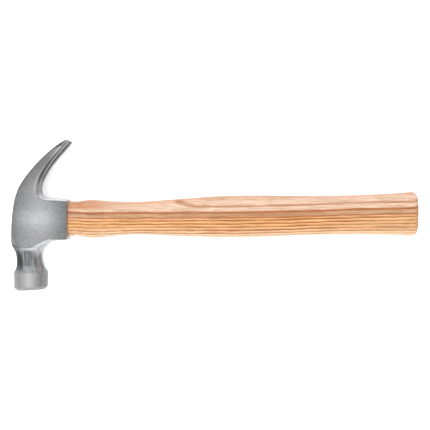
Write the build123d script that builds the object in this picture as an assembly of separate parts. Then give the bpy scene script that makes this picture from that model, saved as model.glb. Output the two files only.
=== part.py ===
from build123d import *
import os

# Claw hammer: a forged steel head wedged onto a wooden handle, lying on its side.
# It is drawn about the middle of the eye: +X runs along the handle to the butt, +Y points to the
# claws, -Y to the striking face, and Z goes through the thickness, with the middle plane at Z = 0.
# The last step stands the whole hammer on Z = 0, centred over the origin.

# Driving dimensions, in millimetres and degrees.
OVERALL_LENGTH = 328.7
CROWN_X = -14.5
BUTT_X = CROWN_X + OVERALL_LENGTH
RIM_X = 30.6
HANDLE_START = RIM_X + 3
SOCKET_TOP = 16.2
SOCKET_BOTTOM = -17.5
SOCKET_DRAFT = 0.45
CHEEK_HALF = 13.5
CHEEK_LOW_Y = -30.0
WAIST_HALF = 12.7
CLAW_HALF = 16.2
TIP_Y = 63.5
TIP_THICKNESS = 3.9
HOLLOW_BEVEL = 1.1
CROWN_ROUND = 1.6
FLANK_EDGE_Z = 10.0
NECK_Y = -32.0
BARREL_TOP_Y = -44.0
BARREL_RADIUS = 13.8
BARREL_TAPER = 0.25
FACE_Y = -57.9
FACE_TILT = 3.0
FACE_BEVEL = 2.5
CROWN_POINT = (-13.6, 2.5, 0)
HOLLOW_POINT = (9.7, 32.0, 0)
SOCKET_TOP_POINT = (22.0, SOCKET_TOP, 0)
SLOT_ROOT = (9.5, 31.0)
SLOT_LENGTH = 48.0
SLOT_ANGLE = -20.0
SLOT_ROOT_HALF = 1.1
SLOT_TIP_HALF = 6.3
BUTT_ROUND = 3.6
WOOD_WEDGE_DEPTH = 27.0
WOOD_WEDGE_HALF = 2.2
STEEL_WEDGE_DEPTH = 18.0
STEEL_WEDGE_HALF = 1.1
STEEL_WEDGE_WIDTH = 11.5
STEEL_WEDGE_Y = 6.4
STEEL_WEDGE_TURN = 14.0
WEDGE_EDGE_HALF = 0.3
OVAL_POWER = 2.35
OVAL_STEPS = 20
HANDLE_SECTIONS = 27
BIG = 80.0

# The tongue of the handle and the eye that it fills, as (X, middle Y, half height, half depth).
EYE_SECTIONS = [
    (CROWN_X - 4, -0.6, 12.6, 8.3),
    (0.0, -0.2, 12.4, 8.0),
    (HANDLE_START, -0.15, 14.35, 9.7),
]

# The handle outside the head, as (X, top Y, bottom Y, half depth).
HANDLE_STATIONS = [
    (HANDLE_START, 14.2, -14.5, 9.7),
    (41.0, 14.6, -14.7, 10.1),
    (51.0, 15.3, -15.8, 10.6),
    (62.0, 14.3, -14.7, 10.3),
    (86.0, 13.7, -12.9, 9.7),
    (118.0, 15.7, -14.2, 10.6),
    (152.0, 18.2, -15.1, 11.9),
    (185.0, 18.8, -14.8, 12.4),
    (225.0, 18.4, -13.4, 12.5),
    (262.0, 19.0, -13.0, 12.6),
    (290.0, 20.3, -13.2, 13.0),
    (BUTT_X - 8.0, 21.5, -14.0, 13.4),
    (BUTT_X, 22.0, -14.3, 13.4),
]

# The neck's eight-sided sections, as (Y, left X, right X, half depth, corner cut).
NECK_SECTIONS = [
    (-14.0, -13.6, 21.0, 12.6, 1.0),
    (-18.5, -14.2, 15.4, 12.8, 1.6),
    (-22.5, -13.8, 11.4, 12.1, 3.1),
    (-27.0, -11.8, 9.2, 10.4, 4.8),
    (NECK_Y, -11.0, 9.0, 9.7, 5.6),
    (-37.5, -10.9, 10.2, 10.4, 6.1),
    (-43.5, -13.2, 13.4, 13.2, 7.8),
    (-48.0, -17.0, 17.2, 17.0, 10.0),
]


def oval(x, middle_y, half_y, half_z):
    """A section across the handle: an ellipse with slightly flattened sides."""
    points = []
    for i in range(OVAL_STEPS):
        direction = Vector(1, 0).rotate(Axis.Z, 360 * i / OVAL_STEPS)
        size = abs(direction.X) ** OVAL_POWER + abs(direction.Y) ** OVAL_POWER
        reach = size ** (-1 / OVAL_POWER)
        points.append((x, middle_y + half_y * reach * direction.X, half_z * reach * direction.Y))
    return Face(Wire([Spline(points, periodic=True)]))


def octagon(y, left, right, half_z, cut):
    """An eight-sided section across the poll."""
    corners = [
        (left + cut, half_z),
        (right - cut, half_z),
        (right, half_z - cut),
        (right, cut - half_z),
        (right - cut, -half_z),
        (left + cut, -half_z),
        (left, cut - half_z),
        (left, half_z - cut),
    ]
    return Face(Wire(Polyline([(x, y, z) for x, z in corners], close=True).edges()))


def side_blank():
    """The crown, claws, socket and cheeks as seen from the side, cut from a thick plate."""
    crown_foot = (CROWN_X, -17.0)
    tip_outer = (29.2, TIP_Y)
    tip_inner = (29.2 + TIP_THICKNESS, TIP_Y - 0.4)
    socket_root = (14.5, SOCKET_TOP + 0.35)
    rim_top = (RIM_X, SOCKET_TOP - SOCKET_DRAFT)
    rim_bottom = (RIM_X, SOCKET_BOTTOM + SOCKET_DRAFT)
    heel = (15.3, SOCKET_BOTTOM - SOCKET_DRAFT)
    crown = Spline(
        [crown_foot, (-13.6, 2.5), (-9.7, 22.0), (-0.8, 36.4), (12.8, 50.7), tip_outer],
        tangents=[(0, 1), (0.82, 0.57)],
    )
    concave = Spline(
        [tip_inner, (22.8, 51.6), (14.8, 41.2), (9.7, 32.0), (7.7, 24.0), (9.2, 18.9), socket_root],
        tangents=[(-0.66, -0.75), (1, -0.05)],
    )
    under = Spline(
        [heel, (8.0, -21.3), (-4.0, -23.3), (-12.0, -22.0), crown_foot],
        tangents=[(-1, -0.15), (0, 1)],
    )
    straights = Polyline(socket_root, rim_top, rim_bottom, heel).edges()
    tip = Line(tip_outer, tip_inner)
    outline = Face(Wire([crown, tip, concave, *straights, under]))
    return extrude(outline, BIG / 2, both=True)


def front_blank():
    """The cheeks, the waist and the claws that spread to their tips, as seen along the handle."""
    start = (CHEEK_LOW_Y, CHEEK_HALF - 0.9)
    shoulder = (57.5, CLAW_HALF)
    corner = (TIP_Y + 0.6, CLAW_HALF - 5.5)
    flank = Spline(
        [start, (0, CHEEK_HALF), (26, WAIST_HALF), (44, 14.3), shoulder],
        tangents=[(1, 0.02), (1, 0.03)],
    )
    tip_round = Spline(
        [shoulder, (62.4, CLAW_HALF - 1.9), corner],
        tangents=[(1, 0.03), (0.25, -1)],
    )
    straights = Polyline(corner, (corner[0], 0), (CHEEK_LOW_Y, 0), start).edges()
    half = Plane.YZ * Face(Wire([flank, tip_round, *straights]))
    return extrude(half + mirror(half, Plane.XY), BIG, both=True)


def flank_edges(shape, *near_points):
    """The edges at the flanks of the faces that pass nearest to the given points."""
    edges = []
    for point in near_points:
        face = shape.faces().sort_by_distance(point)[0]
        edges += [edge for edge in face.edges() if abs((edge @ 0.5).Z) > FLANK_EDGE_Z]
    return edges


def bevelled_blank():
    """The cheeks and claws with their hollow side bevelled and the crown's edges rounded."""
    blank = side_blank() & front_blank()
    blank = chamfer(flank_edges(blank, HOLLOW_POINT, SOCKET_TOP_POINT), HOLLOW_BEVEL)
    return fillet(flank_edges(blank, CROWN_POINT), CROWN_ROUND)


def neck():
    """The eight-sided neck, from inside the cheeks down to where it runs out into the barrel."""
    blank = loft([octagon(*section) for section in NECK_SECTIONS])
    upper = Pos(0, NECK_Y, 0) * Box(BIG, BIG, BIG, align=(Align.CENTER, Align.MIN, Align.CENTER))
    ground = Pos(0, NECK_Y, 0) * Rot(X=90) * Cylinder(
        BARREL_RADIUS,
        NECK_Y - BARREL_TOP_Y,
        align=(Align.CENTER, Align.CENTER, Align.MIN),
    )
    return (blank & upper) + (blank & ground)


def barrel():
    """The round poll with its tilted, bevelled striking face."""
    blank = Pos(0, BARREL_TOP_Y, 0) * Rot(X=90) * Cone(
        BARREL_RADIUS,
        BARREL_RADIUS - BARREL_TAPER,
        BARREL_TOP_Y - FACE_Y + 2,
        align=(Align.CENTER, Align.CENTER, Align.MIN),
    )
    below = Pos(0, FACE_Y, 0) * Rot(Z=FACE_TILT) * Box(
        BIG, BIG, BIG, align=(Align.CENTER, Align.MAX, Align.CENTER)
    )
    poll = blank - below
    face = poll.faces().sort_by(Axis.Y)[0]
    return chamfer(face.edges(), FACE_BEVEL)


def slot():
    """The nail slot, a V with a round root that opens towards the claw tips."""
    plane = Plane(
        origin=(*SLOT_ROOT, 0),
        x_dir=Vector(0, 1, 0).rotate(Axis.Z, SLOT_ANGLE),
        z_dir=Vector(1, 0, 0).rotate(Axis.Z, SLOT_ANGLE),
    )
    root_ends = [(SLOT_ROOT_HALF, SLOT_ROOT_HALF), (SLOT_ROOT_HALF, -SLOT_ROOT_HALF)]
    mouth = [(SLOT_LENGTH, -SLOT_TIP_HALF), (SLOT_LENGTH, SLOT_TIP_HALF)]
    root = ThreePointArc(root_ends[0], (0, 0), root_ends[1])
    vee = Polyline(root_ends[1], *mouth, root_ends[0])
    return extrude(plane * Face(Wire(root.edges() + vee.edges())), BIG, both=True)


def eye():
    """The tapered hole for the handle, narrowest inside and a little wider at the crown."""
    return loft([oval(*section) for section in EYE_SECTIONS])


def wedge_blank(depth, half_thick, half_wide):
    """A wedge that points along +X from outside the crown, thin in Z and wide in Y."""
    slope = (half_thick - WEDGE_EDGE_HALF) / depth
    outer_x = CROWN_X - 2
    outer_half = half_thick + 2 * slope
    inner_x = CROWN_X + depth
    profile = Polyline(
        (outer_x, 0, -outer_half),
        (inner_x, 0, -WEDGE_EDGE_HALF),
        (inner_x, 0, WEDGE_EDGE_HALF),
        (outer_x, 0, outer_half),
        close=True,
    )
    return extrude(Face(Wire(profile.edges())), half_wide, both=True, dir=(0, 1, 0))


def steel_wedge_blanks():
    """Two thin wedges driven across the wooden one, each turned a little about the handle."""
    crosswise = Rot(X=90) * wedge_blank(STEEL_WEDGE_DEPTH, STEEL_WEDGE_HALF, STEEL_WEDGE_WIDTH / 2)
    blanks = []
    for side in (-1, 1):
        blanks.append(Pos(0, side * STEEL_WEDGE_Y, 0) * Rot(X=side * STEEL_WEDGE_TURN) * crosswise)
    return blanks


def tongue():
    """The end of the handle that fills the eye, flush with the crown."""
    beyond_crown = Box(BIG, BIG, BIG, align=(Align.MIN, Align.CENTER, Align.CENTER))
    return (eye() & side_blank()) + (eye() & beyond_crown)


def slope(stations, index, column):
    """The slope of a column at a station, taken between the stations beside it."""
    before = stations[max(index - 1, 0)]
    after = stations[min(index + 1, len(stations) - 1)]
    return (after[column] - before[column]) / (after[0] - before[0])


def smooth_value(stations, column, x):
    """The column's value at x, on a cubic curve through every station."""
    index = max(i for i, station in enumerate(stations[:-1]) if station[0] <= x)
    start, end = stations[index], stations[index + 1]
    span = end[0] - start[0]
    t = (x - start[0]) / span
    rise = end[column] - start[column]
    bend_in = slope(stations, index, column) * span - rise
    bend_out = rise - slope(stations, index + 1, column) * span
    return start[column] + t * rise + t * (1 - t) * ((1 - t) * bend_in + t * bend_out)


def handle_oval(x):
    top, bottom, depth = (smooth_value(HANDLE_STATIONS, column, x) for column in (1, 2, 3))
    return oval(x, (top + bottom) / 2, (top - bottom) / 2, depth)


def handle_blank():
    step = (BUTT_X - HANDLE_START) / HANDLE_SECTIONS
    grip = loft([handle_oval(HANDLE_START + i * step) for i in range(HANDLE_SECTIONS + 1)])
    butt = grip.faces().sort_by(Axis.X)[-1]
    return fillet(butt.edges(), BUTT_ROUND) + tongue()


def make_parts():
    head = bevelled_blank() + neck() + barrel() - slot() - eye()
    steel_blanks = steel_wedge_blanks()
    wood_blank = wedge_blank(WOOD_WEDGE_DEPTH, WOOD_WEDGE_HALF, BIG / 2) & tongue()
    parts = {"head": head}
    parts["handle"] = handle_blank() - wood_blank - steel_blanks[0] - steel_blanks[1]
    parts["wood_wedge"] = wood_blank - steel_blanks[0] - steel_blanks[1]
    for number, blank in enumerate(steel_blanks, start=1):
        parts[f"steel_wedge_{number}"] = blank & tongue()
    return parts


def stand_on_floor(parts):
    """Moves the parts together so that their common box is centred over the origin, on Z = 0."""
    box = Compound([*parts.values()]).bounding_box()
    middle = box.center()
    shift = Pos(-middle.X, -middle.Y, -box.min.Z)
    return {name: shift * shape for name, shape in parts.items()}


os.makedirs("parts", exist_ok=True)
for node, solid in stand_on_floor(make_parts()).items():
    export_step(solid, f"parts/{node}.step")
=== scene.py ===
import math

import bmesh
import bpy
import numpy as np
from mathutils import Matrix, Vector
from mathutils.bvhtree import BVHTree


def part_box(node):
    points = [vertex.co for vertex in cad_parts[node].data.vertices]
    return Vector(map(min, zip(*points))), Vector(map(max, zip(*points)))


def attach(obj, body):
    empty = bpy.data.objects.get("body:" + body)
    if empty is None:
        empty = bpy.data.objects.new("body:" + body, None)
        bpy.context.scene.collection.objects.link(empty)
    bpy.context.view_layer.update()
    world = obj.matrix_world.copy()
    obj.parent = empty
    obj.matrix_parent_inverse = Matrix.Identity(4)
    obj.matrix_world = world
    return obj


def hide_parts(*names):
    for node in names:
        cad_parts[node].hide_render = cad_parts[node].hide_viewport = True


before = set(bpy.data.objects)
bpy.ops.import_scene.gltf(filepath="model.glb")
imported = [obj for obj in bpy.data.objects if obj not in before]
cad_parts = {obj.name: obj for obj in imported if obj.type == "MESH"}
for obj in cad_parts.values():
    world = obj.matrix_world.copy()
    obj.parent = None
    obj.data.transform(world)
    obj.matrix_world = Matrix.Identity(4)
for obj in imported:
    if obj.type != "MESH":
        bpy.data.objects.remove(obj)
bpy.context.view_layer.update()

# The hammer lies on its side: +X runs along the handle to the butt, +Y points to the claws and +Z
# up through the thickness. Shapes are worked out in millimetres from the middle of the eye.
MM = 0.001
HEAD_LOW, HEAD_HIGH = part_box("head")
HANDLE_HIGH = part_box("handle")[1]
CROWN_X = -14.5
CLAW_TIP_Y = 63.5
EYE = Vector((
    HEAD_LOW.x - CROWN_X * MM,
    HEAD_HIGH.y - CLAW_TIP_Y * MM,
    (HEAD_LOW.z + HEAD_HIGH.z) / 2,
))
BUTT_X = (HANDLE_HIGH.x - EYE.x) / MM


def in_metres(point):
    """A point in the row frame, from millimetres about the middle of the eye."""
    return EYE + Vector(point) * MM


def get_points(mesh):
    points = np.empty(len(mesh.vertices) * 3)
    mesh.vertices.foreach_get("co", points)
    return (points.reshape(-1, 3) - np.array(EYE)) / MM


def set_points(mesh, points):
    mesh.vertices.foreach_set("co", (points * MM + np.array(EYE)).ravel())
    mesh.update()


def get_normals(mesh):
    normals = np.empty(len(mesh.vertices) * 3)
    mesh.vertices.foreach_get("normal", normals)
    return normals.reshape(-1, 3)


def ease(values, low, high):
    """0 below low, 1 above high and a smooth step between."""
    t = np.clip((values - low) / (high - low), 0, 1)
    return t * t * (3 - 2 * t)


def fade(values, low, high):
    """1 below low, 0 above high and a smooth step between."""
    return 1 - ease(values, low, high)


def mix(first, second, share):
    return first + (second - first) * share


def add_object(name, mesh):
    piece = bpy.data.objects.new(name, mesh)
    bpy.context.scene.collection.objects.link(piece)
    return piece


def apply_modifiers(piece):
    shape = piece.evaluated_get(bpy.context.evaluated_depsgraph_get())
    mesh = bpy.data.meshes.new_from_object(shape)
    piece.modifiers.clear()
    piece.data = mesh


def set_attribute(mesh, name, values):
    attribute = mesh.attributes.new(name, "FLOAT", "POINT")
    attribute.data.foreach_set("value", values.astype(np.float32))


def dress(piece, material):
    piece.data.materials.clear()
    piece.data.materials.append(material)


class Nodes:
    """Short calls for the nodes that the materials and the sky are made of."""

    def __init__(self, tree):
        self.tree = tree

    def node(self, kind, inputs=None, **settings):
        made = self.tree.nodes.new(kind)
        for key, value in settings.items():
            setattr(made, key, value)
        for key, value in (inputs or {}).items():
            self.put(made.inputs[key], value)
        return made

    def put(self, socket, value):
        if isinstance(value, bpy.types.NodeSocket):
            self.tree.links.new(value, socket)
        else:
            socket.default_value = value

    def math(self, operation, *values):
        made = self.node("ShaderNodeMath", operation=operation)
        for i, value in enumerate(values):
            self.put(made.inputs[i], value)
        return made.outputs[0]

    def product(self, first, *others):
        for other in others:
            first = self.math("MULTIPLY", first, other)
        return first

    def blend(self, factor, first, second, mode="MIX"):
        made = self.node("ShaderNodeMix", data_type="RGBA", blend_type=mode)
        self.put(made.inputs[0], factor)
        self.put(made.inputs[6], first)
        self.put(made.inputs[7], second)
        return made.outputs[2]

    def tint(self, colour, factor, first, second):
        """The colour multiplied by a blend of two tints."""
        return self.blend(1.0, colour, self.blend(factor, first, second), "MULTIPLY")

    def number_blend(self, factor, first, second):
        made = self.node("ShaderNodeMix", {0: factor, 2: first, 3: second}, data_type="FLOAT")
        return made.outputs[0]

    def remap(self, value, low, high, new_low=0.0, new_high=1.0, kind="SMOOTHSTEP"):
        made = self.node("ShaderNodeMapRange", interpolation_type=kind)
        for i, v in enumerate((value, low, high, new_low, new_high)):
            self.put(made.inputs[i], v)
        return made.outputs[0]

    def ramp(self, value, stops):
        """A grey that passes through the (place, level) stops."""
        made = self.node("ShaderNodeValToRGB", {0: value})
        elements = made.color_ramp.elements
        while len(elements) < len(stops):
            elements.new(0.5)
        for element, (place, level) in zip(elements, stops):
            element.position = place
            element.color = (level, level, level, 1.0)
        return made.outputs[0]

    def vector(self, operation, first, second):
        made = self.node("ShaderNodeVectorMath", {0: first, 1: second}, operation=operation)
        return made.outputs[0]

    def scaled(self, vector, scale):
        made = self.node("ShaderNodeVectorMath", {0: vector, "Scale": scale}, operation="SCALE")
        return made.outputs[0]

    def split(self, vector):
        return self.node("ShaderNodeSeparateXYZ", {0: vector}).outputs

    def coordinates(self, kind):
        return self.node("ShaderNodeTexCoord").outputs[kind]


class Shader(Nodes):
    """The node material of one substance."""

    def __init__(self, name):
        self.material = bpy.data.materials.new(name)
        self.material.use_nodes = True
        super().__init__(self.material.node_tree)
        self.surface = self.tree.nodes["Principled BSDF"]

    def set(self, **inputs):
        """Sets the surface shader's own sockets, with underscores for spaces."""
        for key, value in inputs.items():
            self.put(self.surface.inputs[key.replace("_", " ")], value)

    def place(self):
        """The surface point in millimetres about the middle of the eye."""
        shifted = self.vector("SUBTRACT", self.coordinates("Object"), tuple(EYE))
        return self.scaled(shifted, 1 / MM)

    def noise(self, point, scale, detail=2.0, roughness=0.5):
        made = self.node("ShaderNodeTexNoise", {
            "Vector": point,
            "Scale": scale,
            "Detail": detail,
            "Roughness": roughness,
        })
        return made.outputs["Fac"]

    def streaks(self, point, scale, detail=2.0, roughness=0.5):
        """Noise with its own scale along each axis, in features per millimetre."""
        return self.noise(self.vector("MULTIPLY", point, scale), 1.0, detail, roughness)

    def noise_1d(self, value, scale, detail):
        inputs = {"W": value, "Scale": scale, "Detail": detail}
        return self.node("ShaderNodeTexNoise", inputs, noise_dimensions="1D").outputs["Fac"]

    def wander(self, noise, size):
        """The noise as a shift to either side of zero, across size in all."""
        return self.math("MULTIPLY_ADD", noise, size, -size / 2)

    def attribute(self, name):
        return self.node("ShaderNodeAttribute", attribute_name=name).outputs["Fac"]

    def bump(self, height, depth, strength):
        """A normal for relief of the given depth, in millimetres."""
        inputs = {"Height": height, "Distance": depth * MM, "Strength": strength}
        return self.node("ShaderNodeBump", inputs).outputs[0]


# Steel head, its shape

HEAD_VOXEL = 0.46
HEAD_SMOOTH_STEPS = 4
BARREL_TOP_Y = -44.0
BARREL_BOTTOM_Y = -54.5
BARREL_RADIUS = 13.8
BARREL_TAPER = 0.25
BARREL_TAPER_LENGTH = 15.0
BARREL_REACH = 0.35
NECK_GROUND_Y = -32.0

# Each cheek is highest at its middle. It falls away by CHEEK_CROWN at its half length, and by half
# of that at the distances above and below.
CHEEK_MIDDLE = (8.5, 1.8)
CHEEK_HALF_LENGTH = 23.0
CHEEK_HALF_ABOVE = 30.0
CHEEK_HALF_BELOW = 25.0
CHEEK_CROWN = 1.7
CHEEK_FALL_LIMIT = 1.2
CHEEK_START_HEIGHT = (8.4, 11.8)
CROWN_FADE_UP = (10.0, 60.0)
CROWN_FADE_DOWN = (NECK_GROUND_Y, -24.0)

# The lowest Y of the cheek, which rises towards the socket and a little towards the crown.
FLOOR_Y = -22.9
FLOOR_RIGHT_RISE = 6.0
FLOOR_RIGHT_X = (0.0, 17.0)
FLOOR_LEFT_RISE = 2.0
FLOOR_LEFT_X = (9.0, 14.5)

# Under the cheek the forging is hollowed to an arch, steepest at its top.
ARCH_TOP = 12.2
ARCH_TILT = 0.52
ARCH_FADE = 9.5

# The bevel along the socket's top edge, and the cheek beside it that its height is taken from.
RIM_BEVEL_WIDTH = 1.9
RIM_BEVEL_TILT = 0.65
RIM_BEVEL_Y = 13.0
RIM_BEVEL_END = (20.0, 24.0)
BESIDE_BEVEL_X = (14.0, 28.0)
BESIDE_BEVEL_Y = (12.0, 14.0)
BESIDE_BEVEL_PERCENTILE = 98

# A ridge runs along each claw's flank, this far from its hollow edge, and the flank beyond it leans.
RIDGE_AT_ROOT = 3.5
RIDGE_AT_TIP = 1.0
RIDGE_Y = (24.0, 60.0)
CLAW_LEAN = 0.11
CLAW_LEAN_REACH = 15.0
CLAW_LEAN_START = (22.0, 40.0)

# The claws' hollow edge and the socket's top edge from the side, as (X, Y).
HOLLOW_LINE = [
    (33.1, 63.1),
    (22.8, 51.6),
    (14.8, 41.2),
    (9.7, 32.0),
    (7.7, 24.0),
    (9.2, 18.9),
    (14.5, 16.5),
]
SOCKET_LINE = [(7.7, 24.0), (9.2, 18.9), (11.3, 17.2), (14.5, 16.5), (30.6, 15.75)]


def head_shape():
    """The CAD head as an even, dense mesh whose sharp edges have been eased like a forging's."""
    piece = add_object("hammer_head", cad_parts["head"].data.copy())
    grid = piece.modifiers.new("grid", "REMESH")
    grid.mode = "VOXEL"
    grid.voxel_size = HEAD_VOXEL * MM
    grid.use_smooth_shade = True
    easing = piece.modifiers.new("easing", "SMOOTH")
    easing.factor = 0.5
    easing.iterations = HEAD_SMOOTH_STEPS
    apply_modifiers(piece)
    return piece


def below_cheek(x, y):
    """How far each point lies below the cheek, on the part that is ground down to the neck."""
    right = FLOOR_RIGHT_RISE * ease(x, *FLOOR_RIGHT_X)
    left = FLOOR_LEFT_RISE * ease(-x, *FLOOR_LEFT_X)
    return FLOOR_Y + right + left - y


def distance_to_line(x, y, line):
    """How far each point is from a run of straight stretches."""
    nearest = np.full_like(x, np.inf)
    for (ax, ay), (bx, by) in zip(line, line[1:]):
        along = ((x - ax) * (bx - ax) + (y - ay) * (by - ay)) / ((bx - ax) ** 2 + (by - ay) ** 2)
        along = np.clip(along, 0, 1)
        apart = np.hypot(x - ax - along * (bx - ax), y - ay - along * (by - ay))
        nearest = np.minimum(nearest, apart)
    return nearest


def past_ridge(x, y):
    """How far each point of a claw is past its ridge, away from the hollow edge."""
    return distance_to_line(x, y, HOLLOW_LINE) - mix(RIDGE_AT_ROOT, RIDGE_AT_TIP, ease(y, *RIDGE_Y))


def inside_bevel(x, y):
    """How far each point is inside the bevel along the socket's top edge."""
    return RIM_BEVEL_WIDTH - distance_to_line(x, y, SOCKET_LINE)


def turn_barrel(points):
    """Puts the side of the barrel on a true cone, without the flats of the CAD mesh."""
    x, y, z = points.T
    down = np.clip(BARREL_TOP_Y - y, 0, BARREL_TAPER_LENGTH) / BARREL_TAPER_LENGTH
    radius = BARREL_RADIUS - BARREL_TAPER * down
    reach = np.hypot(x, z)
    near = (np.abs(reach - radius) < BARREL_REACH) & (y < NECK_GROUND_Y) & (y > BARREL_BOTTOM_Y)
    scale = np.where(near, radius / reach, 1)
    points[:, 0] = x * scale
    points[:, 2] = z * scale


def bevel_socket(x, y, height):
    """The heights once the strip along the socket's top edge is tilted."""
    left, right = BESIDE_BEVEL_X
    low, high = BESIDE_BEVEL_Y
    beside = (x > left) & (x < right) & (y > low) & (y < high)
    cheek = np.percentile(height[beside], BESIDE_BEVEL_PERCENTILE)
    inside = np.clip(inside_bevel(x, y), 0, None) * fade(y, *RIM_BEVEL_END)
    bevelled = np.minimum(height, cheek - RIM_BEVEL_TILT * inside)
    return np.where((y > RIM_BEVEL_Y) & (inside > 0), bevelled, height)


def crown_cheeks(x, y, height):
    """The heights once the cheeks are crowned and the claws' flanks lean away from their ridge."""
    half_height = np.where(y > CHEEK_MIDDLE[1], CHEEK_HALF_ABOVE, CHEEK_HALF_BELOW)
    across = ((x - CHEEK_MIDDLE[0]) / CHEEK_HALF_LENGTH) ** 2
    along = ((y - CHEEK_MIDDLE[1]) / half_height) ** 2
    fall = np.clip(across + along / (1 + along), 0, CHEEK_FALL_LIMIT)
    sink = CHEEK_CROWN * fall * fade(y, *CROWN_FADE_UP) * ease(y, *CROWN_FADE_DOWN)
    past = np.clip(past_ridge(x, y), 0, CLAW_LEAN_REACH)
    sink += CLAW_LEAN * past * ease(y, *CLAW_LEAN_START)
    return height - sink * ease(height, *CHEEK_START_HEIGHT)


def hollow_arch(x, y, height):
    """The heights once the arch ground under the cheeks is hollowed."""
    below = np.clip(below_cheek(x, y), 0, ARCH_FADE)
    arch = ARCH_TOP - ARCH_TILT * below * (1 - below / (2 * ARCH_FADE))
    return np.where((below > 0) & (y > NECK_GROUND_Y), np.minimum(height, arch), height)


def forge_head(mesh):
    """Turns the barrel, bevels the socket, crowns the cheeks and hollows the arch under them."""
    points = get_points(mesh)
    turn_barrel(points)
    x, y, z = points.T
    height = bevel_socket(x, y, np.abs(z))
    height = crown_cheeks(x, y, height)
    height = hollow_arch(x, y, height)
    points[:, 2] = np.sign(z) * height
    set_points(mesh, points)


# Steel head, its surfaces. A pair of numbers is a range that a mark fades over, in millimetres, or
# for FACING, STEEP and LEVEL in parts of the surface's normal; a STRENGTH pair is from low to high.

GROUND_BLEND = 0.35
TURNED_BLEND = 0.6
LEVEL = (0.1, 0.4)
BARREL_EDGE = (BARREL_TOP_Y, BARREL_TOP_Y + 3.0)

# Painted shadow on the neck's crown side, in the nail slot and on the claws' hollow side.
CROWN_FACET_FACING = (0.45, 0.8)
CROWN_FACET_TOP = (-28.0, -23.0)
SLOT_ROOT_Y = 31.0
SLOT_ROOT_HALF = 1.6
SLOT_SPREAD = 0.11
SLOT_BLEND = (-0.3, 0.1)
SLOT_START = (28.0, SLOT_ROOT_Y)
SLOT_STRENGTH = 0.85
HOLLOW_STEEP = (0.2, 0.5)
HOLLOW_FACING = (0.1, 0.5)
HOLLOW_STRENGTH = (0.05, 0.55)
HOLLOW_GROWTH = (24.0, 32.0)
HOLLOW_START = (19.0, 22.0)

# Worn edges, lightened further as painted highlights, along the socket's bevel, the claws' ridge and
# root, and the rim.
BEVEL_BLEND = (-0.2, 0.4)
BEVEL_START = (13.0, 14.5)
BEVEL_END = (18.0, 22.0)
TIP_START = (42.0, 58.0)
RIDGE_STRENGTH = (0.12, 0.45)
RIDGE_WIDTH = (0.8, 1.7)
RIDGE_CORE = 0.15
RIDGE_START = (19.0, 24.0)
ROOT_FACING = (0.15, 0.4)
ROOT_LEVEL = (0.02, 0.1)
ROOT_START = (17.0, 20.0)
ROOT_END = (26.0, 35.0)
ROOT_STRENGTH = 0.6
RIM_EDGE_X = (29.6, 30.4)
RIM_EDGE_STRENGTH = 0.5

# Painted shade: darker steel towards the rim, the crown and the claws, and on one side of the barrel.
SHADE_RIM_X = (14.0, 30.0)
SHADE_RIM_STRENGTH = 0.4
SHADE_CROWN_X = (4.0, 13.0)
SHADE_CROWN_STRENGTH = 0.55
SHADE_CLAW_TILT = 0.6
SHADE_CLAW_RANGE = (4.0, 30.0)
SHADE_STEEP_SHARE = 0.2
SHADE_BARREL_X = (4.0, 13.0)
SHADE_BARREL_STRENGTH = 0.75

# Fresh grinding with painted highlights on the arch, the flare above the barrel and the neck's handle
# side.
ARCH_START = 1.0
ARCH_DEPTH = (4.0, 9.0)
ARCH_DEPTH_X = (0.0, 8.0)
ARCH_STRENGTH = (0.1, 0.9)
ARCH_X = (-11.5, -1.0)
FLARE_Y = (-40.0, -36.5)
FLARE_STRENGTH = 0.35
FACET_X = (2.0, 5.5)
FACET_STRENGTH = 0.3
UPPER_FACET_X = (3.0, 6.0)
UPPER_FACET_DEPTH = (5.0, 11.0)
UPPER_FACET_STRENGTH = 0.5

BLASTED_DARK = (0.095, 0.096, 0.098, 1)
BLASTED_LIGHT = (0.145, 0.146, 0.148, 1)
GRIT_COLOUR = (0.27, 0.272, 0.275, 1)
# Painted shade tint for the blasted steel and the barrel.
SHADE_TINT = (0.62, 0.62, 0.62, 1)
# Colour of worn edges and painted highlights.
WEAR_HIGHLIGHT_COLOUR = (0.42, 0.42, 0.425, 1)
BARE_DARK = (0.082, 0.085, 0.090, 1)
BARE_LIGHT = (0.235, 0.241, 0.250, 1)
# Colours of fresh grinding with painted highlights.
GRINDING_HIGHLIGHT_DARK = (0.33, 0.33, 0.335, 1)
GRINDING_HIGHLIGHT_LIGHT = (0.85, 0.85, 0.86, 1)
BARREL_DARK = (0.28, 0.28, 0.283, 1)
BARREL_LIGHT = (0.395, 0.395, 0.40, 1)
# Painted shadow colours.
SHADOW_DARK = (0.022, 0.022, 0.024, 1)
SHADOW_LIGHT = (0.058, 0.059, 0.062, 1)
BLASTED_ROUGHNESS = 0.38
GROUND_ROUGHNESS = 0.58
TURNED_ROUGHNESS = 0.55
GRIT_DEPTH = 0.08
GRIT_SHARE = 0.7

# The steel's textures: features per millimetre, along each axis where they are drawn out, and the
# noise levels that a texture spans from its first colour to its second.
MOTTLE_SCALE = 0.35
GRIT_SCALE = 1.25
GRIT_SPAN = (0.28, 0.72)
STREAK_SCALE = (1.0, 0.06, 0.3)
STREAK_SPAN = (0.35, 0.65)
SHADOW_SPAN = (0.4, 0.65)
LATHE_SCALE = (0.5, 0.05, 0.5)


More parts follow.
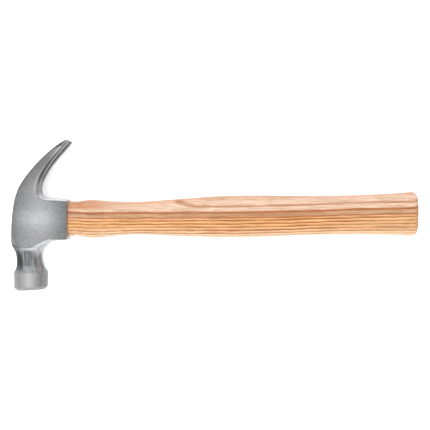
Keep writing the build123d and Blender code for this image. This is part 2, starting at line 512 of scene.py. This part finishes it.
def painted_shadow_marks(points, normals):
    """Painted shadow: the neck's crown side, the nail slot and the claws' hollow side."""
    _, y, z = points.T
    facing_x = normals[:, 0]
    crown_facet = ease(-facing_x, *CROWN_FACET_FACING) * ease(y, *BARREL_EDGE)
    crown_facet *= fade(y, *CROWN_FACET_TOP)
    slot_half = SLOT_ROOT_HALF + SLOT_SPREAD * (y - SLOT_ROOT_Y)
    in_slot = SLOT_STRENGTH * ease(slot_half - np.abs(z), *SLOT_BLEND) * ease(y, *SLOT_START)
    steep = fade(np.abs(normals[:, 2]), *HOLLOW_STEEP)
    hollow_edge = steep * ease(facing_x, *HOLLOW_FACING) * ease(y, *HOLLOW_START)
    hollow_edge *= mix(*HOLLOW_STRENGTH, ease(y, *HOLLOW_GROWTH))
    return np.maximum.reduce([crown_facet, in_slot, hollow_edge])


def wear_and_highlight_marks(points, normals):
    """Bright edges, partly wear and partly painted highlight: the socket's bevel, the claws' ridge
    and root, and the end of the socket.
    """
    x, y, _ = points.T
    bevel = ease(inside_bevel(x, y), *BEVEL_BLEND) * fade(y, *BEVEL_END) * ease(y, *BEVEL_START)
    near_tip = ease(y, *TIP_START)
    from_ridge = np.abs(past_ridge(x, y)) / mix(*RIDGE_WIDTH, near_tip)
    ridge = mix(*RIDGE_STRENGTH, near_tip) * fade(from_ridge, RIDGE_CORE, 1.0)
    ridge *= ease(y, *RIDGE_START)
    root = ease(normals[:, 0], *ROOT_FACING) * ease(normals[:, 2] ** 2, *ROOT_LEVEL)
    root *= ROOT_STRENGTH * ease(y, *ROOT_START) * fade(y, *ROOT_END)
    rim = RIM_EDGE_STRENGTH * ease(x, *RIM_EDGE_X)
    return np.maximum.reduce([bevel, ridge, root, rim])


def painted_shade_marks(points, normals):
    """Painted shade: darker steel on the outer parts of the cheeks, the claws and the handle's side
    of the barrel.
    """
    x, y, _ = points.T
    rim = SHADE_RIM_STRENGTH * ease(x, *SHADE_RIM_X)
    crown = SHADE_CROWN_STRENGTH * ease(-x, *SHADE_CROWN_X)
    claws = ease(y - SHADE_CLAW_TILT * x, *SHADE_CLAW_RANGE)
    flanks = np.maximum.reduce([claws, rim, crown])
    flanks *= mix(SHADE_STEEP_SHARE, 1.0, ease(normals[:, 2] ** 2, *LEVEL))
    barrel = SHADE_BARREL_STRENGTH * ease(x, *SHADE_BARREL_X) * fade(y, *BARREL_EDGE)
    return np.maximum(flanks, barrel)


def grinding_and_highlight_marks(points, normals):
    """Freshly ground steel with painted highlights: the arch, the flare above the barrel and the
    neck's handle side.
    """
    x, y, _ = points.T
    below = below_cheek(x, y)
    level = ease(normals[:, 2] ** 2, *LEVEL)
    depth = mix(*ARCH_DEPTH, ease(x, *ARCH_DEPTH_X))
    arch = fade(below, ARCH_START, depth) * level * mix(*ARCH_STRENGTH, ease(x, *ARCH_X))
    flare = FLARE_STRENGTH * fade(y, *FLARE_Y) * level
    facet = FACET_STRENGTH * ease(x, *FACET_X)
    facet += UPPER_FACET_STRENGTH * ease(x, *UPPER_FACET_X) * fade(below, *UPPER_FACET_DEPTH)
    return np.maximum.reduce([arch, flare, facet])


def paint_head(mesh):
    """Marks the head's surfaces for its material: each mark is 0 where it's absent and 1 at most."""
    points = get_points(mesh)
    normals = get_normals(mesh)
    x, y, _ = points.T
    set_attribute(mesh, "ground", ease(below_cheek(x, y), -GROUND_BLEND, GROUND_BLEND))
    set_attribute(mesh, "turned", fade(y, BARREL_TOP_Y - TURNED_BLEND, BARREL_TOP_Y + TURNED_BLEND))
    # The scale attribute holds the painted shadow.
    set_attribute(mesh, "scale", painted_shadow_marks(points, normals))
    # Worn edges with painted highlights.
    set_attribute(mesh, "wear_and_highlight", wear_and_highlight_marks(points, normals))
    # Painted shade.
    set_attribute(mesh, "painted_shade", painted_shade_marks(points, normals))
    # Fresh grinding with painted highlights.
    set_attribute(mesh, "grinding_and_highlight", grinding_and_highlight_marks(points, normals))


def steel_material():
    """Blasted cheeks and claws, a neck ground lengthwise and a turned barrel, with painted shade,
    shadow and highlights.
    """
    shader = Shader("forged_steel")
    point = shader.place()
    ground = shader.attribute("ground")
    turned = shader.attribute("turned")
    painted_shade = shader.attribute("painted_shade")
    mottled = shader.noise(point, MOTTLE_SCALE, detail=4.0, roughness=0.6)
    grit = shader.noise(point, GRIT_SCALE, detail=3.0, roughness=0.75)
    streak = shader.streaks(point, STREAK_SCALE, detail=3.0, roughness=0.65)
    lathe = shader.streaks(point, LATHE_SCALE)

    blasted = shader.blend(mottled, BLASTED_DARK, BLASTED_LIGHT)
    blasted = shader.blend(shader.remap(grit, *GRIT_SPAN, 0.0, GRIT_SHARE), blasted, GRIT_COLOUR)
    # Painted shade darkens the blasted steel away from the cheek's highlight, and one side of the
    # barrel.
    blasted = shader.blend(painted_shade, blasted, SHADE_TINT, "MULTIPLY")
    # Worn edges with painted highlights on the blasted steel.
    blasted = shader.blend(shader.attribute("wear_and_highlight"), blasted, WEAR_HIGHLIGHT_COLOUR)

    bare = shader.blend(shader.remap(streak, *STREAK_SPAN), BARE_DARK, BARE_LIGHT)
    # Fresh grinding with painted highlights on the ground steel.
    grinding_and_highlight = shader.blend(streak, GRINDING_HIGHLIGHT_DARK, GRINDING_HIGHLIGHT_LIGHT)
    bare = shader.blend(shader.attribute("grinding_and_highlight"), bare, grinding_and_highlight)
    barrel = shader.blend(lathe, BARREL_DARK, BARREL_LIGHT)
    barrel = shader.blend(painted_shade, barrel, SHADE_TINT, "MULTIPLY")
    bare = shader.blend(turned, bare, barrel)

    colour = shader.blend(ground, blasted, bare)
    # Painted shadow, carried by the scale attribute.
    scale = shader.blend(shader.remap(streak, *SHADOW_SPAN), SHADOW_DARK, SHADOW_LIGHT)
    bare_roughness = shader.number_blend(turned, GROUND_ROUGHNESS, TURNED_ROUGHNESS)
    shader.set(
        Base_Color=shader.blend(shader.attribute("scale"), colour, scale),
        Metallic=1.0,
        Roughness=shader.number_blend(ground, BLASTED_ROUGHNESS, bare_roughness),
        Normal=shader.bump(shader.number_blend(ground, grit, streak), GRIT_DEPTH, strength=0.6),
    )
    return shader.material


def make_head():
    piece = head_shape()
    forge_head(piece.data)
    paint_head(piece.data)
    dress(piece, steel_material())
    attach(piece, "root")
    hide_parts("head")


# Ash handle, its shape

WEDGES = ("wood_wedge", "steel_wedge_1", "steel_wedge_2")
RING_STEP = 1.1
SPOKES = 128
CAST_FROM = 40.0
CAST_INSET = 3.5
SMOOTH_ROUNDS = 3
EYE_DEPTH = 14.0
TONGUE_GAP = 0.06
END_RECESS = 0.35
END_BEVEL = 0.5
END_LEVELS_AFTER = 12.0
BUTT_ROUND = 4.4
BUTT_DOME = 0.5
ROUND_STEPS = 12
CAP_STEPS = 14
CAP_MIDDLE = 0.08
KERF_GAP = 0.07
MERGE_GAP = 0.001
SHARP_ANGLE = 35

# The crown's outline, a parabola about this Y.
CROWN_Y = 2.5
CROWN_MIDDLE = -13.6
CROWN_SLOPE = 0.123
CROWN_BEND = 0.00395


def crown_x(y):
    """X of the crown at y."""
    return CROWN_MIDDLE + CROWN_SLOPE * (y - CROWN_Y) + CROWN_BEND * (y - CROWN_Y) ** 2


def ring_places():
    """X of each ring of the handle's side, and how far it is drawn in from the CAD outline."""
    body = np.arange(CROWN_X + 1.0, BUTT_X - BUTT_ROUND, RING_STEP)
    places = [(CROWN_X, END_BEVEL)] + [(x, 0.0) for x in body]
    for turn in np.linspace(0, math.pi / 2, ROUND_STEPS + 1)[1:]:
        x = BUTT_X - BUTT_DOME - BUTT_ROUND * (1 - math.sin(turn))
        places.append((x, BUTT_ROUND * (1 - math.cos(turn))))
    return places


def cast_target(name):
    shape = bmesh.new()
    shape.from_mesh(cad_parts[name].data)
    return BVHTree.FromBMesh(shape)


def measure_reach(x_values):
    """The handle's radius at each X and spoke, cast onto the CAD eye and then onto the CAD handle."""
    eye_tree = cast_target("head")
    handle_tree = cast_target("handle")
    reach = np.empty((len(x_values), SPOKES))
    for i, x in enumerate(x_values):
        axis = in_metres((min(max(x, CROWN_X + CAST_INSET), BUTT_X - BUTT_ROUND), 0, 0))
        for j in range(SPOKES):
            angle = 2 * math.pi * j / SPOKES
            spoke = Vector((0, math.cos(angle), math.sin(angle)))
            if x < EYE_DEPTH:
                reach[i, j] = eye_tree.ray_cast(axis, spoke)[3] / MM - TONGUE_GAP
            else:
                hit = handle_tree.ray_cast(axis + spoke * CAST_FROM * MM, -spoke)
                reach[i, j] = CAST_FROM - hit[3] / MM
    return reach


def smooth_reach(reach):
    """Evens out the flats of the CAD mesh, round and along the handle."""
    for _ in range(SMOOTH_ROUNDS):
        reach = (np.roll(reach, 1, 1) + 2 * reach + np.roll(reach, -1, 1)) / 4
        inner = (reach[:-2] + 2 * reach[1:-1] + reach[2:]) / 4
        reach = np.concatenate([reach[:1], inner, reach[-1:]])
    return reach


def handle_points():
    """The rings of the handle from the middle of its crown end to the middle of the butt."""
    places = ring_places()
    x_values = np.array([x for x, _ in places])
    reach = smooth_reach(measure_reach(x_values)) - np.array([[inset] for _, inset in places])
    angles = 2 * math.pi * np.arange(SPOKES) / SPOKES
    across = np.stack([np.cos(angles), np.sin(angles)], axis=1)
    rings = []
    for share in np.linspace(CAP_MIDDLE, 1, CAP_STEPS, endpoint=False):
        side = across * (reach[0] * share)[:, None]
        rings.append(np.column_stack([crown_x(side[:, 0]) + END_RECESS, side]))
    for i, x in enumerate(x_values):
        side = across * reach[i][:, None]
        flush = crown_x(side[:, 0]) + END_RECESS + (x - CROWN_X)
        level = ease(x, CROWN_X, CROWN_X + END_LEVELS_AFTER)
        rings.append(np.column_stack([flush * (1 - level) + x * level, side]))
    for share in np.linspace(1, CAP_MIDDLE, CAP_STEPS)[1:]:
        side = across * (reach[-1] * share)[:, None]
        dome = BUTT_X - BUTT_DOME * share ** 2
        rings.append(np.column_stack([np.full(SPOKES, dome), side]))
    return rings


def handle_shape():
    """The handle as one closed mesh of rings and spokes."""
    shape = bmesh.new()
    rings = [[shape.verts.new(in_metres(point)) for point in ring] for ring in handle_points()]
    for before, after in zip(rings, rings[1:]):
        for j in range(SPOKES):
            k = (j + 1) % SPOKES
            shape.faces.new((before[j], after[j], after[k], before[k]))
    for ring in (rings[0], rings[-1]):
        middle = shape.verts.new(sum((v.co for v in ring), Vector()) / SPOKES)
        for j in range(SPOKES):
            shape.faces.new((middle, ring[j], ring[(j + 1) % SPOKES]))
    bmesh.ops.recalc_face_normals(shape, faces=shape.faces)
    mesh = bpy.data.meshes.new("ash_handle")
    shape.to_mesh(mesh)
    return add_object("ash_handle", mesh)


def wedge_cutter(name):
    """A wedge's closed shape, a hair thicker all round, so that its joint with the wood shows."""
    shape = bmesh.new()
    shape.from_mesh(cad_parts[name].data)
    bmesh.ops.remove_doubles(shape, verts=shape.verts, dist=MERGE_GAP * MM)
    bmesh.ops.recalc_face_normals(shape, faces=shape.faces)
    mesh = bpy.data.meshes.new(name)
    shape.to_mesh(mesh)
    set_points(mesh, get_points(mesh) + get_normals(mesh) * KERF_GAP)
    return add_object(f"{name}_cutter", mesh)


def cut_kerf(piece):
    """Saws out the slots that the wedges fill."""
    cutters = [wedge_cutter(name) for name in WEDGES]
    for cutter in cutters:
        cut = piece.modifiers.new(cutter.name, "BOOLEAN")
        cut.operation = "DIFFERENCE"
        cut.solver = "EXACT"
        cut.object = cutter
    apply_modifiers(piece)
    for cutter in cutters:
        bpy.data.objects.remove(cutter)
    piece.data.shade_smooth()
    piece.data.set_sharp_from_angle(angle=math.radians(SHARP_ANGLE))


# Ash handle, its wood. The growth rings circle a pith outside the handle, at this (Y, Z). The one
# at ZONE_RADIUS parts broad pink rings, counted up from 0, from narrow gold ones, counted down.

PITH = (-65.0, -28.0)
ZONE_RADIUS = 76.7
BROAD_RING = 3.6
FINE_RING = 2.1
INNER_WIDENING = 0.018
INNER_LIMIT = 22.0
WAVE_SCALE = (0.02, 0.03, 0.03)
WAVE_SIZE = 1.8
RIPPLE_SCALE = (0.1, 0.15, 0.15)
RIPPLE_SIZE = 0.9
RING_UNEVENNESS = 0.4
GRAIN_RISE = 4.3
GRAIN_RISE_X = (160.0, 350.0)

# Towards the head the rings lie lower, and those beyond THROAT_RING are spread wide.
THROAT_X = (95.0, 172.0)
THROAT_DROP = 1.7
THROAT_RING = 1.62
THROAT_WIDENING = 0.85
THROAT_WIDENING_X = (105.0, 143.0)

# Where each ring is dark, as shares of its width, and how strongly.
EARLY_RISE = (0.0, 0.12)
EARLY_FADE_FROM = 0.15
EARLY_FADE_TO_FINE = 0.74
EARLY_FADE_TO_BROAD = 0.50
ZONE_BLEND = (-0.1, 0.15)
FINE_MID_GRIP = 1.4
FINE_BUTT = 0.68
GRIP_START_X = (80.0, 150.0)
GRIP_END_X = (230.0, 310.0)
BROAD_STRENGTH = 0.85
OUTSIDE_STRENGTH = 0.45
LOW_SIDE_COUNT = (-7.0, -2.5)
HIGH_SIDE_COUNT = (2.2, 3.2)

# The first broad ring is brown, less so towards the ends, with a dark line along both its edges.
BROWN_END_COUNT = (0.85, 1.3)
BROWN_START_X = (60.0, 130.0)
BROWN_START_SHARE = 0.8
BROWN_FADE_X = (200.0, 270.0)
BROWN_END_SHARE = 0.7
ZONE_LINE_COUNTS = (0.04, 1.06)
ZONE_LINE_RISE = 0.18
ZONE_LINE_CORE = 0.04
ZONE_LINE_FALL = 0.42
ZONE_LINE_STRENGTH = 0.9

# Paler along the bottom as painted light, paler towards the butt, and amber stain along the top and
# by the head.
LIT_BOTTOM_HEIGHT = (-11.5, -6.5)
PALE_BUTT_X = (200.0, 300.0)
PALE_BUTT_SHARE = 0.4
STAIN_X = (38.0, 85.0)
STAIN_THICKNESS = (2.5, 9.0)
STAIN_HEIGHT = (6.0, 9.0)
# End grain, with painted shade reaching onto the rounded edges by the ends.
END_GRAIN_SHADE_FACING = (0.58, 0.85)

GOLD_LIGHT = (0.69, 0.395, 0.17, 1)
GOLD_DARK = (0.36, 0.10, 0.02, 1)
PALE_TONE = (0.76, 0.53, 0.34, 1)
PINK_LIGHT = (0.66, 0.475, 0.37, 1)
PINK_DARK = (0.40, 0.145, 0.05, 1)
AMBER = (0.48, 0.18, 0.06, 1)
BROWN_LIGHT = (0.43, 0.235, 0.12, 1)
ZONE_LINE = (0.37, 0.115, 0.028, 1)
PORE_COLOUR = (0.30, 0.13, 0.05, 1)
PORE_DEPTH = 0.05
LACQUER_ROUGHNESS = 0.40
PORE_ROUGHNESS = 0.6
PATCH_TINTS = ((0.93, 0.91, 0.87, 1), (1.04, 1.04, 1.04, 1))
FIBRE_TINTS = ((0.74, 0.64, 0.52, 1), (1.22, 1.25, 1.28, 1))
END_GRAIN_SHADE_TINTS = ((0.50, 0.32, 0.20, 1), (0.80, 0.60, 0.43, 1))

# The wood's textures, with the same kinds of numbers as the steel's.
FIBRE_SCALE = (0.05, 1.8, 1.8)
FIBRE_SPAN = (0.3, 0.7)
STAIN_SPAN = (0.3, 0.6)
PORE_SCALE = (0.16, 4.0, 4.0)
PORE_SPAN = (0.50, 0.64)
PORES_IN_LATE_WOOD = 0.4
PORE_STRENGTH = 0.4
PATCH_SCALE = (0.035, 0.3, 0.3)
PATCH_SPAN = (0.35, 0.65)
BREAK_SCALE = (0.045, 0.6, 0.6)
BREAK_SPAN = (0.32, 0.6)
BREAK_STRENGTH = 0.55
SPECKLE_SCALE = 5.0
RING_WIDTH_SCALE = 0.9
RING_TONE_SCALE = 3.7
RING_TONE_SPAN = (0.3, 0.7)
PALE_RING_STRENGTH = 0.75

WEDGE_WOOD_DARK = (0.22, 0.10, 0.045, 1)
WEDGE_WOOD_LIGHT = (0.46, 0.26, 0.13, 1)
WEDGE_WOOD_SPECKS = (0.16, 0.075, 0.035, 1)
WEDGE_WOOD_DEPTH = 0.08
WEDGE_GRAIN_SCALE = (0.25, 3.0, 6.0)
WEDGE_SPECK_SCALE = 6.0
WEDGE_SPECK_SPAN = (0.5, 0.75)
WEDGE_SPECK_SHARE = 0.6
WEDGE_STEEL_DARK = (0.20, 0.19, 0.18, 1)
WEDGE_STEEL_LIGHT = (0.45, 0.44, 0.43, 1)
WEDGE_STEEL_ROUGHNESS = (0.38, 0.6)
WEDGE_STEEL_DEPTH = 0.04
WEDGE_MOTTLE_SCALE = 1.1
WEDGE_MOTTLE_SPAN = (0.3, 0.7)
WEDGE_SCRATCH_SCALE = (4.0, 0.5, 5.0)


def grain_position(shader, point):
    """Y and Z of each point, undoing the drift of the grain."""
    x, y, z = shader.split(point)
    waves = shader.wander(shader.streaks(point, WAVE_SCALE), WAVE_SIZE)
    ripple = shader.wander(shader.streaks(point, RIPPLE_SCALE), RIPPLE_SIZE)
    drift = shader.math("ADD", waves, ripple)
    drift = shader.math("SUBTRACT", drift, shader.remap(x, *GRAIN_RISE_X, 0.0, GRAIN_RISE))
    drift = shader.math("ADD", drift, shader.remap(x, *THROAT_X, THROAT_DROP, 0.0))
    return shader.math("ADD", y, drift), z


def ring_count(shader, point):
    """Signed count of growth rings outward from the one between the two zones."""
    y, z = grain_position(shader, point)
    across = shader.math("SUBTRACT", y, PITH[0])
    up = shader.math("SUBTRACT", z, PITH[1])
    squares = shader.math("ADD", shader.product(across, across), shader.product(up, up))
    outward = shader.math("SUBTRACT", shader.math("SQRT", squares), ZONE_RADIUS)
    inward = shader.math("MAXIMUM", shader.product(outward, -1.0), 0.0)
    limited = shader.math("MINIMUM", inward, INNER_LIMIT)
    widening = shader.math("MULTIPLY_ADD", limited, INNER_WIDENING, 1.0)
    inner = shader.math("DIVIDE", shader.math("DIVIDE", inward, FINE_RING), widening)
    outer = shader.math("DIVIDE", shader.math("MAXIMUM", outward, 0.0), BROAD_RING)
    return shader.math("SUBTRACT", outer, inner)


def uneven_count(shader, count, x):
    """The ring count, with the rings spread towards the head and of unequal widths."""
    beyond = shader.math("MAXIMUM", shader.math("SUBTRACT", count, THROAT_RING), 0.0)
    widening = shader.remap(x, *THROAT_WIDENING_X, THROAT_WIDENING, 0.0)
    count = shader.math("SUBTRACT", count, shader.product(widening, beyond))
    shift = shader.wander(shader.noise_1d(count, RING_WIDTH_SCALE, detail=1.0), RING_UNEVENNESS)
    return shader.math("ADD", count, shift)


def early_wood(shader, count, ring, outer_zone):
    """1 in the dark early wood that starts each ring, fading into its pale late wood."""
    within = shader.math("SUBTRACT", count, ring)
    fade_end = shader.number_blend(outer_zone, EARLY_FADE_TO_FINE, EARLY_FADE_TO_BROAD)
    fading = shader.remap(within, EARLY_FADE_FROM, fade_end, 1.0, 0.0)
    return shader.product(shader.remap(within, *EARLY_RISE), fading)


def ring_strength(shader, point, count, ring, outer_zone):
    """How dark the early wood is: it differs between rings, breaks up and fades at both sides."""
    x, _, _ = shader.split(point)
    ring_tone = shader.noise_1d(ring, RING_TONE_SCALE, detail=0.0)
    broken = shader.streaks(point, BREAK_SCALE, roughness=0.6)
    grip_start = shader.remap(x, *GRIP_START_X, 1.0, FINE_MID_GRIP)
    grip_end = shader.remap(x, *GRIP_END_X, 1.0, FINE_BUTT)
    fine = shader.product(grip_start, grip_end)
    return shader.product(
        shader.remap(ring_tone, *RING_TONE_SPAN, PALE_RING_STRENGTH, 1.0),
        shader.remap(count, *LOW_SIDE_COUNT, OUTSIDE_STRENGTH, 1.0),
        shader.remap(broken, *BREAK_SPAN, BREAK_STRENGTH, 1.0),
        shader.remap(count, *HIGH_SIDE_COUNT, 1.0, OUTSIDE_STRENGTH),
        shader.number_blend(outer_zone, fine, BROAD_STRENGTH),
    )


def late_wood(shader, point, count, outer_zone, fibres):
    """The pale colour between the dark bands: gold or pink, paler along the bottom as painted light
    and towards the butt, with stain and a brown ring.
    """
    x, height, thickness = shader.split(point)
    # Painted light: paler along the bottom of the handle.
    light = shader.blend(shader.remap(height, *LIT_BOTTOM_HEIGHT, 1.0, 0.0), GOLD_LIGHT, PALE_TONE)
    light = shader.blend(shader.remap(x, *PALE_BUTT_X, 0.0, PALE_BUTT_SHARE), light, PALE_TONE)
    light = shader.blend(outer_zone, light, PINK_LIGHT)
    along_top = shader.remap(shader.math("ABSOLUTE", thickness), *STAIN_THICKNESS, 1.0, 0.0)
    stain = shader.math("MAXIMUM", shader.remap(x, *STAIN_X, 1.0, 0.0), along_top)
    in_fibres = shader.remap(fibres, *STAIN_SPAN)
    stain = shader.product(stain, shader.remap(height, *STAIN_HEIGHT), in_fibres)
    light = shader.blend(stain, light, AMBER)
    brown = shader.product(
        outer_zone,
        shader.remap(count, *BROWN_END_COUNT, 1.0, 0.0),
        shader.remap(x, *BROWN_START_X, BROWN_START_SHARE, 1.0),
        shader.remap(x, *BROWN_FADE_X, 1.0, BROWN_END_SHARE),
    )
    return shader.blend(brown, light, BROWN_LIGHT)


def draw_zone_lines(shader, colour, count):
    for middle in ZONE_LINE_COUNTS:
        rise = shader.remap(count, middle - ZONE_LINE_RISE, middle - ZONE_LINE_CORE)
        fall = shader.remap(count, middle + ZONE_LINE_CORE, middle + ZONE_LINE_FALL, 1.0, 0.0)
        colour = shader.blend(shader.product(rise, fall, ZONE_LINE_STRENGTH), colour, ZONE_LINE)
    return colour


def ash(shader, point):
    """Colour and pore depth of straight-grained ash, with broad pink rings above narrow gold ones."""
    x, _, _ = shader.split(point)
    count = uneven_count(shader, ring_count(shader, point), x)
    ring = shader.math("FLOOR", count)
    outer_zone = shader.remap(count, *ZONE_BLEND)
    early = early_wood(shader, count, ring, outer_zone)
    strength = ring_strength(shader, point, count, ring, outer_zone)
    fibres = shader.streaks(point, FIBRE_SCALE, detail=3.0, roughness=0.65)
    pores = shader.streaks(point, PORE_SCALE)
    patches = shader.streaks(point, PATCH_SCALE)
    pore_share = shader.number_blend(early, PORES_IN_LATE_WOOD, 1.0)
    pore_marks = shader.product(shader.remap(pores, *PORE_SPAN), pore_share)
    light = late_wood(shader, point, count, outer_zone, fibres)
    dark = shader.blend(outer_zone, GOLD_DARK, PINK_DARK)
    colour = shader.blend(shader.product(early, strength), light, dark)
    colour = draw_zone_lines(shader, colour, count)
    colour = shader.tint(colour, shader.remap(patches, *PATCH_SPAN), *PATCH_TINTS)
    colour = shader.tint(colour, shader.remap(fibres, *FIBRE_SPAN), *FIBRE_TINTS)
    return shader.blend(shader.product(pore_marks, PORE_STRENGTH), colour, PORE_COLOUR), pore_marks


def end_grain_and_shade(shader):
    """0 on the sides of the handle, 1 where its ends are cut across the grain; the rounded edges
    before them get part of it, as painted shade.
    """
    x, _, _ = shader.split(shader.coordinates("Normal"))
    return shader.remap(shader.math("ABSOLUTE", x), *END_GRAIN_SHADE_FACING)


def wood_material():
    """Ash under a thin satin lacquer, darker where its ends have soaked it up, and on their rounded
    edges as painted shade.
    """
    shader = Shader("lacquered_ash")
    point = shader.place()
    colour, pore_marks = ash(shader, point)
    # End grain soaked with lacquer, and painted shade on the rounded edges by the ends.
    soaked_and_shaded = shader.tint(colour, shader.noise(point, SPECKLE_SCALE, roughness=0.6), *END_GRAIN_SHADE_TINTS)
    shader.set(
        Base_Color=shader.blend(end_grain_and_shade(shader), colour, soaked_and_shaded),
        Roughness=shader.remap(pore_marks, 0.0, 1.0, LACQUER_ROUGHNESS, PORE_ROUGHNESS),
        Specular_IOR_Level=0.2,
        Coat_Weight=0.2,
        Coat_Roughness=0.3,
        Normal=shader.bump(shader.product(pore_marks, -1.0), PORE_DEPTH, strength=0.5),
    )
    return shader.material


def wedge_wood_material():
    shader = Shader("wedge_hardwood")
    point = shader.place()
    streaks = shader.streaks(point, WEDGE_GRAIN_SCALE, detail=3.0, roughness=0.6)
    speckle = shader.noise(point, WEDGE_SPECK_SCALE, roughness=0.6)
    colour = shader.blend(streaks, WEDGE_WOOD_DARK, WEDGE_WOOD_LIGHT)
    dark_specks = shader.remap(speckle, *WEDGE_SPECK_SPAN, 0.0, WEDGE_SPECK_SHARE)
    shader.set(
        Base_Color=shader.blend(dark_specks, colour, WEDGE_WOOD_SPECKS),
        Roughness=0.75,
        Normal=shader.bump(speckle, WEDGE_WOOD_DEPTH, strength=0.5),
    )
    return shader.material


def wedge_steel_material():
    shader = Shader("rolled_wedge_steel")
    point = shader.place()
    mottled = shader.noise(point, WEDGE_MOTTLE_SCALE, detail=4.0, roughness=0.6)
    scratches = shader.streaks(point, WEDGE_SCRATCH_SCALE)
    shader.set(
        Base_Color=shader.blend(mottled, WEDGE_STEEL_DARK, WEDGE_STEEL_LIGHT),
        Metallic=1.0,
        Roughness=shader.remap(mottled, *WEDGE_MOTTLE_SPAN, *WEDGE_STEEL_ROUGHNESS),
        Normal=shader.bump(scratches, WEDGE_STEEL_DEPTH, strength=0.5),
    )
    return shader.material


def make_handle():
    piece = handle_shape()
    cut_kerf(piece)
    dress(piece, wood_material())
    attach(piece, "root")
    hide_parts("handle")


def dress_wedges():
    """Gives the CAD wedges their own materials."""
    wood, steel = wedge_wood_material(), wedge_steel_material()
    for name in WEDGES:
        dress(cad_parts[name], wood if name == "wood_wedge" else steel)


# Stage

FLOOR_HALF = 6.0
FLOOR_COLOUR = (0.93, 0.93, 0.93, 1)
FLOOR_GLOW = 0.45

# The sky's brightness by height, then the dimmer wall at +X, which fades out near the horizon.
SKY_LEVELS = [(0.1, 1.0), (0.16, 0.4), (0.3, 0.4), (0.8, 0.85)]
DARK_SIDE = (0.65, 0.8)
DARK_SIDE_LEVEL = 0.5
HORIZON_BAND = (0.08, 0.18)

# Each light as (name, place, target, size, watts), in metres.
LIGHTS = [
    ("left_box", (-1.1, 0.0, 0.9), (-0.1, 0.0, 0.0), (0.9, 0.9), 3.2),
    ("front_box", (0.0, -0.9, 0.85), (0.0, 0.0, 0.0), (1.2, 0.5), 5.0),
    ("back_box", (0.1, 1.1, 0.5), (0.0, 0.0, 0.0), (1.2, 0.5), 5.8),
    ("right_box", (0.7, 0.0, 1.0), (-0.13, 0.0, 0.0), (0.5, 0.9), 1.8),
    ("camera_box", (-0.33, 0.0, 1.35), (-0.14, 0.0, 0.0), (0.2, 0.2), 4.6),
]

# The camera looks straight down at the middle of the hammer, from a metre above its middle plane.
CAMERA_PLACE = (149.7, 2.93, 1000.0)
CAMERA_LENS = 102.9
CAMERA_CLIP_END = 20.0


def make_floor():
    mesh = bpy.data.meshes.new("floor")
    signs = [(-1, -1), (1, -1), (1, 1), (-1, 1)]
    mesh.from_pydata([(x * FLOOR_HALF, y * FLOOR_HALF, 0) for x, y in signs], [], [(0, 1, 2, 3)])
    floor = add_object("floor", mesh)
    shader = Shader("pale_floor")
    shader.set(
        Base_Color=FLOOR_COLOUR,
        Roughness=0.9,
        Specular_IOR_Level=0.1,
        Emission_Color=(1, 1, 1, 1),
        Emission_Strength=FLOOR_GLOW,
    )
    dress(floor, shader.material)


def make_world():
    """A room with a white sweep behind the floor, dim walls (dimmest at +X) and a bright ceiling."""
    world = bpy.data.worlds.new("studio")
    world.use_nodes = True
    sky = Nodes(world.node_tree)
    across, _, height = sky.split(sky.coordinates("Generated"))
    side = sky.remap(across, *DARK_SIDE, 1.0, DARK_SIDE_LEVEL)
    above_horizon = sky.remap(height, *HORIZON_BAND, kind="LINEAR")
    dimming = sky.number_blend(above_horizon, 1.0, side)
    colour = sky.scaled(sky.ramp(height, SKY_LEVELS), dimming)
    sky.put(sky.tree.nodes["Background"].inputs["Color"], colour)
    bpy.context.scene.world = world


def make_lights():
    for name, place, target, size, watts in LIGHTS:
        light = bpy.data.lights.new(name, "AREA")
        light.shape = "RECTANGLE"
        light.size, light.size_y = size
        light.energy = watts
        direction = Vector(target) - Vector(place)
        lamp = add_object(name, light)
        lamp.location = place
        lamp.rotation_euler = direction.to_track_quat("-Z", "Y").to_euler()
    bpy.context.scene.view_settings.view_transform = "Standard"


def make_camera():
    camera = bpy.data.cameras.new("camera")
    camera.lens = CAMERA_LENS
    camera.clip_end = CAMERA_CLIP_END
    rig = add_object("camera", camera)
    rig.location = in_metres(CAMERA_PLACE)
    bpy.context.scene.camera = rig


make_camera()
make_floor()
make_world()
make_lights()
make_head()
make_handle()
dress_wedges()
